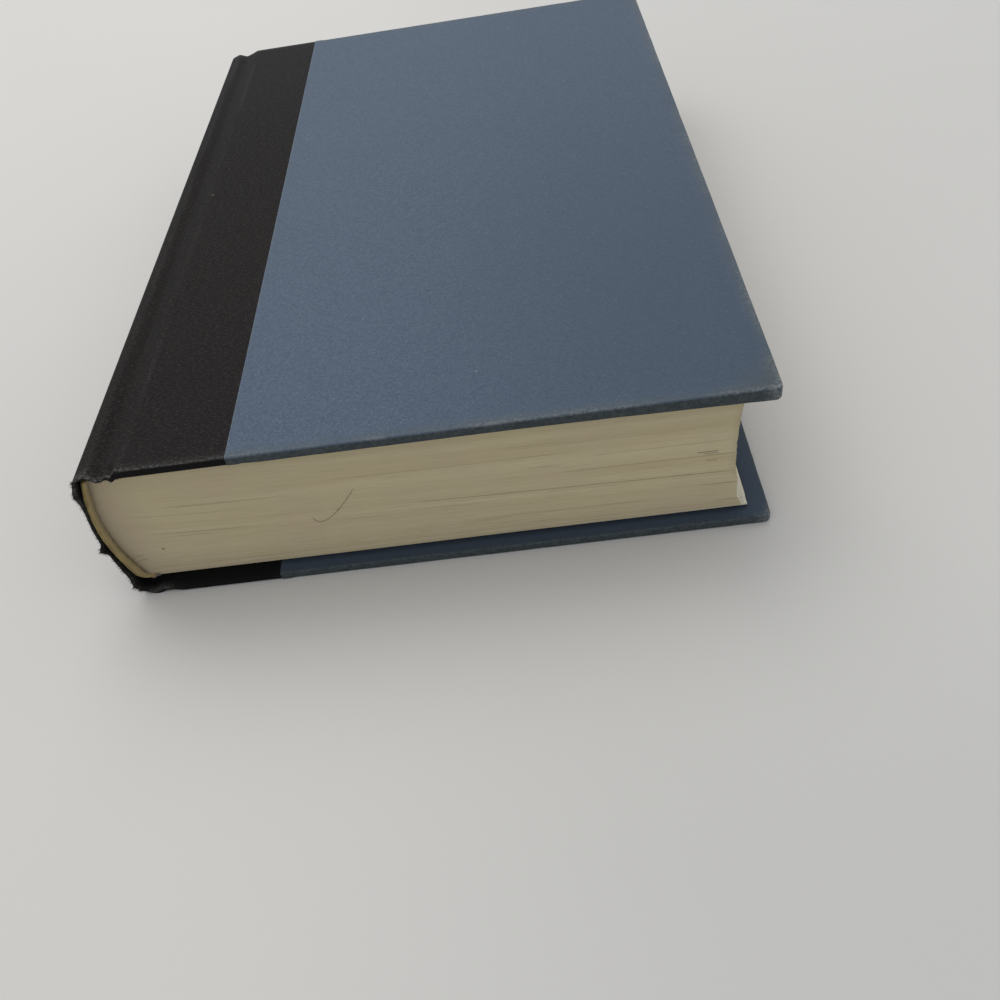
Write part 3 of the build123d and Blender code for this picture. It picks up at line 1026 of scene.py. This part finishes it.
def block_place(across, t):
    """A point of the block's section, from spine to fore-edge and from back to front."""
    spine = leaf_end_x(t)
    fore = fore_edge_x(MID_Z + t * BLOCK_HALF)
    if across < NEAR_SHARE:
        x = spine + NEAR_SPINE * across / NEAR_SHARE
    else:
        rest = fore - spine - NEAR_SPINE
        x = spine + NEAR_SPINE + rest * (across - NEAR_SHARE) / (1 - NEAR_SHARE)
    return x, MID_Z + t * block_half(x)


def leaf_sag(x, level):
    """How much higher a leaf lies at x than at the fore-edge: the middle leaves hang down."""
    free = smooth(2.65, 9.0, level) * smooth(40.35, 32.0, level)
    rise = 2.4 * math.exp(-(x + 75.0) / 28.0)
    slope = 0.007 + 0.02 * bell(level, 15.0, 4.0)
    return free * (rise + slope * (73.0 - max(x, -25.0)))


def rubbed_corner(x, y, z):
    """Takes back the flared lowest leaves where the tail corner of the fore-edge is rubbed."""
    near = smooth(BLOCK_TAIL + 1.8, BLOCK_TAIL, y) * smooth(12.5, 10.5, z) * smooth(2.9, 3.6, z)
    return 0.35 * max(0.0, x - 74.5) * near


def open_gap(x, level):
    dark = 0.0
    for height, first, last, strength in OPEN_GAPS:
        along = smooth(first - 3, first + 3, x) * smooth(last + 3, last - 3, x)
        dark = max(dark, strength * along * bell(level, height, 0.16))
    return dark


def split_along(bm, axis, cuts):
    edges = [e for e in bm.edges if abs((e.verts[0].co - e.verts[1].co)[axis]) > 1e-6]
    bmesh.ops.subdivide_edges(bm, edges=edges, cuts=cuts)


def leaf_jitter(rng, rows):
    """How far each leaf stands in or out, and how dark the painted shade in the gap under it is."""
    level = []
    gap = []
    drift = 0.0
    for row in range(rows + 1):
        drift = 0.8 * drift + rng.uniform(-0.02, 0.02)
        level.append(drift + rng.uniform(-0.02, 0.02))
        gap.append(1.0 if rng.random() < 0.05 else 0.0)
    return level, gap


def page_block():
    rng = random.Random(5)
    level, gap = leaf_jitter(rng, LEAF_ROWS)
    bm = bmesh.new()
    bmesh.ops.create_cube(bm, size=1.0)
    split_along(bm, 0, COLUMN_CUTS)
    split_along(bm, 1, LENGTH_CUTS)
    split_along(bm, 2, LEAF_ROWS - 1)
    gap_mark, rosy_mark, pale_mark = marked(bm, "gap", "rosy", "pale")
    along = {}
    for vert in bm.verts:
        across, deep, up = vert.co.x + 0.5, vert.co.y + 0.5, vert.co.z + 0.5
        row = round(up * LEAF_ROWS)
        t = 2 * up - 1
        height = MID_Z + t * BLOCK_HALF
        sag = leaf_sag(block_place(across, t)[0], height)
        x, z = block_place(across, clamp(t + sag / BLOCK_HALF, -1.0, 1.0))
        closer = deep - 0.8 * math.sin(2 * math.pi * deep) / (2 * math.pi)
        y = BLOCK_TAIL + (BLOCK_HEAD - BLOCK_TAIL) * closer
        at_tail = deep == 0.0
        at_end = deep in (0.0, 1.0)
        run = x if at_end else y
        stand = level[row] + ripple(40.0, run, row * 0.35) * 0.05
        # Dark lines in the gaps between leaves: painted shade
        dark = 0.42 * gap[row] * smooth(0.15, 0.45, ripple(17.0, run, row * 1.7, 3.0))
        if at_end:
            dark *= smooth(-72.0, -60.0, x)
            y += stand if at_tail else -stand
        if at_tail:
            dark = max(dark, open_gap(x, height))
        if across == 1.0:
            x += stand * 1.5 + 0.13 * ripple(1.3, height, y * 0.03) * smooth(12.0, 17.0, height)
        x -= rubbed_corner(x, y, z)
        vert.co = (x, y, z)
        vert[gap_mark] = clamp(dark)
        vert[rosy_mark] = bell(x, SPINE_ROUND_X - SPINE_ROUND, 9.0) if at_end else 0.0
        rim = bell(z, MID_Z + BLOCK_HALF, 0.35) * smooth(-10, 40, x)
        rim += 0.8 * bell(z, 2.9, 0.3) * smooth(15, 70, x)
        vert[pale_mark] = clamp(0.6 * rim)
        along[vert.index] = (x + y, height)
    bm.verts.index_update()
    lay_flat(bm, along)
    return finished(bm, "page_block", PAGE_EDGES)


pages = page_block()
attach(pages, "pages")
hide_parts("text_block")


# Endpapers: one folded sheet each, half glued to the board, half loose on the block

LEAF = 0.14
FLY_Z = 40.36
BOARD_Z = 40.70
FOLD_X = -72.6
GLUE_X = -73.8
FOLD_LOW = 40.50
FOLD_HIGH = 40.55
FOLD_STEPS = 18
LEAF_STEPS = 44
LEAF_LENGTHS = 79
# How far the back endpaper is set in at the tail and head
BACK_SHORT = 0.9
# How far inside the turn-ins the glued half starts to sink, and over what length it does
STEP_CLEAR = 3.0


def endpaper_line(fore_x):
    """The folded sheet seen from its tail: free leaf, fold, then the half on the board."""
    width = fore_x - FOLD_X
    line = [(fore_x - width * part / LEAF_STEPS, FLY_Z, 0) for part in range(LEAF_STEPS + 1)]
    for part in range(FOLD_STEPS + 1):
        share = part / FOLD_STEPS
        x = FOLD_X + (GLUE_X - FOLD_X) * share
        line.append((x, FOLD_LOW + (FOLD_HIGH - FOLD_LOW) * share, 0))
    width = fore_x - GLUE_X
    line += [(GLUE_X + width * part / LEAF_STEPS, BOARD_Z, 1) for part in range(LEAF_STEPS + 1)]
    return line


def board_step(x, y):
    """How far the glued half sinks between the turn-ins."""
    fore, side = COVER_END - TURN_IN - STEP_CLEAR, HEAD_Y - TURN_IN - STEP_CLEAR
    in_x = smooth(-38.0, -34.0, x) * smooth(fore, fore - STEP_CLEAR, x)
    return 0.17 * in_x * smooth(side, side - STEP_CLEAR, abs(y))


def endpaper_piece(name, fore_x, back, replaced):
    line = endpaper_line(fore_x)
    short = BACK_SHORT if back else 0.0

    def corner(column, row):
        x, z, glued = line[column]
        low, high = BLOCK_TAIL + short, BLOCK_HEAD - short
        y = low + (high - low) * row / (LEAF_LENGTHS - 1)
        if glued:
            z += board_step(x, y)
        if back:
            z = THICKNESS - z
        return (x, y, z), (x if glued else 2 * GLUE_X - x, y), ()

    piece = finished(grid_sheet(len(line), LEAF_LENGTHS, corner), name, ENDPAPER, False)
    add_wall(piece, LEAF, 1.0 if back else -1.0)
    low, high = FOLD_LOW * MM, FOLD_HIGH * MM
    if back:
        low, high = THICKNESS * MM - low, THICKNESS * MM - high
    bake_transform(piece)
    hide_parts(*replaced)


endpaper_piece(
    "front_endpaper", 75.4, False, ("front_pastedown", "front_flyleaf")
)
endpaper_piece("back_endpaper", 76.6, True, ("back_pastedown", "back_flyleaf"))


# Bands: a corded bead of yellow thread at each end of the spine

BEAD_WIDTH = 1.5
BEAD_HEIGHT = 2.6
BEAD_OUT = 0.2
BEAD_STEPS = 330
BEAD_INNER_ROUND = SPINE_ROUND - 1.25
BAND_HALF = 18.1
TAIL_BAND_LOW_HALF = 19.2
THREAD_PITCH = 0.55
CURL_Z = 4.2


def bead_place(x, z, tail):
    """Where the cord runs: beside the curve of the spine, its lower tail end curled inwards."""
    if tail:
        x -= 0.36 + 0.1 * bell(z, 7.0, 5.0) + 0.25 * bell(z, 38.0, 4.0)
        drop = max(0.0, CURL_Z - z)
        x += 0.6 * drop * drop
        z = max(z, CURL_Z) - 1.05 * (1 - math.exp(-drop / 0.9))
    return x, z


def band_piece(name, node, edge_y, outward):
    tail = outward < 0
    bm = bmesh.new()
    bmesh.ops.create_circle(bm, cap_ends=False, radius=0.5, segments=24)
    bmesh.ops.scale(bm, vec=(BEAD_WIDTH, BEAD_HEIGHT, 1), verts=bm.verts)
    start_x = SPINE_ROUND_X - SPINE_ROUND - BEAD_OUT + BEAD_WIDTH / 2
    middle_y = edge_y + outward * BEAD_HEIGHT / 2
    bmesh.ops.translate(bm, vec=(start_x, middle_y, MID_Z), verts=bm.verts)
    first = math.asin(BAND_HALF / SPINE_ROUND)
    last = math.asin((TAIL_BAND_LOW_HALF if tail else BAND_HALF) / SPINE_ROUND)
    centre = (SPINE_ROUND_X, 0, MID_Z)
    turn = Matrix.Rotation(first, 4, "Y")
    bmesh.ops.rotate(bm, cent=centre, matrix=turn, verts=bm.verts)
    bmesh.ops.spin(
        bm,
        geom=bm.verts[:] + bm.edges[:],
        cent=centre,
        axis=(0, -1, 0),
        dvec=(0, 0, 0),
        angle=first + last,
        steps=BEAD_STEPS,
        use_merge=False,
    )
    ends = [e for e in bm.edges if e.is_boundary]
    bmesh.ops.holes_fill(bm, edges=ends, sides=0)
    bmesh.ops.recalc_face_normals(bm, faces=bm.faces)
    bm.normal_update()
    groove_shade, stitch, outer, pale = marked(bm, "groove_shade", "stitch", "outer", "inner")
    for vert in bm.verts:
        off = Vector((vert.co.x - SPINE_ROUND_X, vert.co.z - MID_Z))
        run = math.atan2(off.y, -off.x) * SPINE_ROUND
        lean = (vert.co.y - middle_y) * 0.18
        wave = math.cos(2 * math.pi * (run + lean) / THREAD_PITCH)
        fluff = 0.10 * ripple(0.9, run, vert.co.y, off.length) + 0.10 * ripple(3.0, run, 5.0)
        inner = SPINE_ROUND + BEAD_OUT - BEAD_WIDTH - off.length
        # These marks hold the band's painted shade in the grooves and on the outer side, and its
        # painted highlight on the inner half.
        vert[groove_shade] = smooth(-0.1, -0.9, wave)
        patchy = clamp(0.65 + 0.9 * ripple(2.2, run, 1.0) - 0.5 * smooth(0.0, 18.0, off.y))
        vert[stitch] = 0.7 * bell(inner, -0.5, 0.15) * patchy
        vert[outer] = 0.9 * smooth(-BEAD_WIDTH + 0.7, -BEAD_WIDTH + 0.2, inner)
        vert[pale] = smooth(-0.75, -0.35, inner)
        vert.co += vert.normal * (0.045 * wave + fluff - 0.04)
        rounded_end = smooth(0.0, 0.9, vert.co.z - (MID_Z + 17.4)) if off.y > 0 else 0.0
        vert.co.y += 0.8 * rounded_end * -outward
        if tail:
            thin = 0.5 * smooth(6.0, 2.6, vert.co.z)
            middle = SPINE_ROUND + BEAD_OUT - BEAD_WIDTH / 2
            toward = off.normalized() * (middle - off.length) * thin
            vert.co += Vector((toward.x, (edge_y - vert.co.y) * thin, toward.y))
        vert.co.x, vert.co.z = bead_place(vert.co.x, vert.co.z, tail)
    piece = finished(bm, name, BAND_THREAD)
    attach(piece, "pages")
    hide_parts(node)


band_piece("tail_band_bead", "tail_band", BLOCK_TAIL, -1)
band_piece("head_band_bead", "head_band", BLOCK_HEAD, 1)


# Small loose things: frays at the spine's worn end, band threads, torn bits, a hair, lint


def fibre(bm, root, way, length, thick):
    """One thin fibre from its root, tapering to its tip."""
    turn = way.to_track_quat("Z", "Y").to_matrix().to_4x4()
    bmesh.ops.create_cone(
        bm,
        cap_ends=True,
        segments=3,
        radius1=thick,
        radius2=thick * 0.4,
        depth=length,
        matrix=Matrix.Translation(root + way * length / 2) @ turn,
    )


def spread(rng, *ranges):
    return Vector([rng.uniform(low, high) for low, high in ranges])


def thread_line(bm, points, thick):
    for start, end in zip(points, points[1:]):
        fibre(bm, start, (end - start).normalized(), (end - start).length * 1.05, thick)


def cloth_frays():
    rng = random.Random(11)
    bm = bmesh.new()
    rows = [r for r, (end, stage, _) in enumerate(CLOTH_ROWS) if end == "tail" and stage < 2]
    cap = [i for i, s in enumerate(STATIONS[:BACK_CREST]) if s[0].x < -66.0]
    bumps = [i for i in cap if min(abs(STATIONS[i][0].y - z) for z in (BUMP_Z, LOW_BUMP_Z)) < 1.6]
    joint = [i for i in cap if STATIONS[i][0].x > -80.5 and STATIONS[i][0].y > 37]
    for count, places, longest in ((760, cap, 0.8), (140, bumps, 0.9), (190, joint, 0.8)):
        for _ in range(count):
            station = rng.choice(places)
            root = Vector(cloth_corner(station, rng.choice(rows))[0])
            depth = STATIONS[station][1]
            out = Vector((-depth.x, 0, -depth.y)).normalized()
            lean = spread(rng, (-1, 1), (-1.3, 0.1), (-1, 1))
            way = (out * 0.7 + lean * 0.8).normalized()
            fibre(bm, root, way, rng.uniform(0.3, longest), rng.uniform(0.018, 0.042))
    piece = finished(bm, "spine_cloth_frays", FIBRE)
    blend_joint(piece)


def band_threads():
    rng = random.Random(4)
    bm = bmesh.new()
    for _ in range(46):
        angle = rng.uniform(-0.40, 0.38)
        x = SPINE_ROUND_X - BEAD_INNER_ROUND * math.cos(angle)
        z = MID_Z + BEAD_INNER_ROUND * math.sin(angle)
        root = Vector((x, BLOCK_TAIL - rng.uniform(0.6, 1.8), z))
        way = spread(rng, (0.2, 1), (-0.6, 0.1), (-0.6, 0.8))
        fibre(bm, root, way.normalized(), rng.uniform(0.3, 0.8), 0.03)
    for x, z, lift in ((-77.7, 10.6, 0.1), (-76.9, 9.0, 0.35)):
        bends = ((0.0, 1.0, 0.0), (1.4, 0.5, lift), (3.0, 0.15, lift * 0.6))
        points = [Vector((x + on, BLOCK_TAIL - out, z + up)) for on, out, up in bends]
        thread_line(bm, points, 0.05)
    piece = finished(bm, "band_loose_threads", YELLOW_FIBRE)
    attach(piece, "pages")


def torn_leaf_bits():
    rng = random.Random(8)
    bm = bmesh.new()
    for _ in range(44):
        x = rng.uniform(-75.5, -73.4)
        root = Vector((x, BLOCK_TAIL - rng.uniform(0.1, 0.5), 2.5 + 0.25 * (x + 75.5)))
        root.z += rng.uniform(-0.25, 0.35)
        way = spread(rng, (-1, 1), (-0.5, -0.1), (-0.5, 0.4))
        fibre(bm, root, way.normalized(), rng.uniform(0.25, 0.6), rng.uniform(0.05, 0.10))
    piece = finished(bm, "torn_leaf_bits", TORN_PAPER)
    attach(piece, "pages")


def stray_hair():
    bm = bmesh.new()
    corners = ((-29.25, 16.6), (-28.6, 13.2), (-24.5, 14.6), (-17.25, 24.75))
    corners = [Vector((x, BLOCK_TAIL - 0.12, z)) for x, z in corners]
    thread_line(bm, interpolate_bezier(*corners, 18), 0.055)
    piece = finished(bm, "stray_hair", HAIR)
    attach(piece, "pages")


LINT_PLACE = Vector((-65.9, 4.27, CLOTH_TOP))


def lint_speck():
    rng = random.Random(2)
    bm = bmesh.new()
    for _ in range(9):
        way = spread(rng, (-1, 1), (-1, 1), (0.05, 0.4)).normalized()
        root = LINT_PLACE - way * 0.1
        fibre(bm, root, way, rng.uniform(0.3, 0.6), 0.05)
    piece = finished(bm, "lint_speck", LINT)
    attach(piece, "front_cover")


cloth_frays()
lint_speck()
band_threads()
torn_leaf_bits()
stray_hair()


# What stays as the frame has it: boards, gauze and kraft paper

for node, material in (
    ("front_board", GREY_BOARD),
    ("back_board", GREY_BOARD),
    ("spine_lining", KRAFT),
    ("spine_mull", GAUZE),
    ("front_mull", GAUZE),
    ("back_mull", GAUZE),
):
    data = nodes[node].data
    data.materials.clear()
    data.materials.append(material)


# The table

TABLE_HALF = 2500
TABLE_DROP = 0.1


def table_top():
    bm = bmesh.new()
    bmesh.ops.create_grid(bm, x_segments=8, y_segments=8, size=TABLE_HALF)
    bmesh.ops.translate(bm, vec=(0, 0, -TABLE_DROP), verts=bm.verts)
    top = finished(bm, "table_top", TABLE)


table_top()

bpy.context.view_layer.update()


def plain(box):
    return [list(corner) for corner in box]
